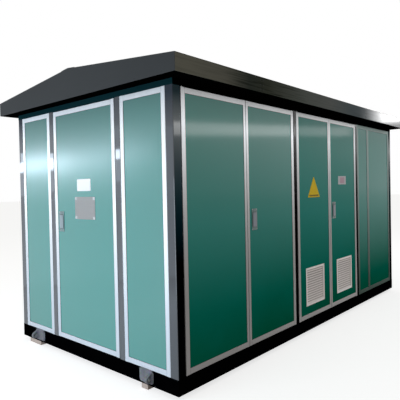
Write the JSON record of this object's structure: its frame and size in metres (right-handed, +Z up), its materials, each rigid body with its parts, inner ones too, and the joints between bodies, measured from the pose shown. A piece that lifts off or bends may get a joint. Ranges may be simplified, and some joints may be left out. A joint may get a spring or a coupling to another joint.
{
  "type": "compact substation enclosure",
  "caption": "Walk-round outdoor substation housing: green panels in bright frames, black posts, low gable roof, hinged doors, louvres and lifting lugs.",
  "frame": {"origin": "on the ground, under the middle of the enclosure", "axes": "+X along the length, away from the single-door end; -Y out of the front with three bays; +Z up"},
  "size_m": [4.476, 2.398, 2.4533],
  "materials": {
    "base_paint": "semi-gloss black paint",
    "floor_steel": "dark chequered steel plate",
    "block_wood": "weathered sawn timber",
    "lug_steel": "dull zinc-coated steel",
    "post_paint": "gloss black paint",
    "frame_aluminium": "satin anodised",
    "panel_green": "gloss sea-green enamel",
    "handle_chrome": "satin chrome",
    "louvre_plastic": "pale grey, slightly pink",
    "soffit_paint": "satin black paint",
    "roof_paint": "dark grey paint"
  },
  "bodies": {
    "enclosure": {"base_side_beams": "base_paint", "base_end_beams": "base_paint", "base_cross_beams": "base_paint", "floor_plate": "floor_steel", "support_blocks": "block_wood", "lifting_lugs": "lug_steel", "corner_posts": "post_paint", "front_posts": "post_paint", "rear_posts": "post_paint", "left_end_posts": "post_paint", "right_end_posts": "post_paint", "top_side_rails": "post_paint", "top_end_rails": "post_paint", "bay_3_frames": "frame_aluminium", "left_end_frames": "frame_aluminium", "right_end_frames": "frame_aluminium", "rear_frames": "frame_aluminium", "bay_3_panels": "panel_green", "left_end_panels": "panel_green", "right_end_panels": "panel_green", "rear_panels": "panel_green", "soffit_panel": "soffit_paint", "roof_front_slope": "roof_paint", "roof_rear_slope": "roof_paint", "ridge_cap": "roof_paint", "left_gable": "roof_paint", "right_gable": "roof_paint", "front_fascia": "roof_paint", "rear_fascia": "roof_paint"},
    "end_door": {"end_door_frame": "frame_aluminium", "end_door_panel": "panel_green", "end_door_handle": "handle_chrome"},
    "bay_1_left_leaf": {"bay_1_left_frame": "frame_aluminium", "bay_1_left_panel": "panel_green"},
    "bay_1_right_leaf": {"bay_1_right_frame": "frame_aluminium", "bay_1_right_panel": "panel_green", "bay_1_handle": "handle_chrome"},
    "bay_2_left_leaf": {"bay_2_left_frame": "frame_aluminium", "bay_2_left_panel": "panel_green", "bay_2_left_louvre": "louvre_plastic"},
    "bay_2_right_leaf": {"bay_2_right_frame": "frame_aluminium", "bay_2_right_panel": "panel_green", "bay_2_right_louvre": "louvre_plastic", "bay_2_handle": "handle_chrome"}
  },
  "joints": [
    {"name": "end_door_hinge", "type": "hinge", "parent": "enclosure", "child": "end_door", "pos_m": [-2.112, -0.415, 0.16], "axis": [0, 0, 1], "range_deg": [0, 90]},
    {"name": "bay_1_left_hinge", "type": "hinge", "parent": "enclosure", "child": "bay_1_left_leaf", "pos_m": [-2.022, -1.052, 0.16], "axis": [0, 0, -1], "range_deg": [0, 90]},
    {"name": "bay_1_right_hinge", "type": "hinge", "parent": "enclosure", "child": "bay_1_right_leaf", "pos_m": [-0.522, -1.052, 0.16], "axis": [0, 0, 1], "range_deg": [0, 90]},
    {"name": "bay_2_left_hinge", "type": "hinge", "parent": "enclosure", "child": "bay_2_left_leaf", "pos_m": [-0.432, -1.052, 0.16], "axis": [0, 0, -1], "range_deg": [0, 90]},
    {"name": "bay_2_right_hinge", "type": "hinge", "parent": "enclosure", "child": "bay_2_right_leaf", "pos_m": [0.918, -1.052, 0.16], "axis": [0, 0, 1], "range_deg": [0, 90]}
  ]
}
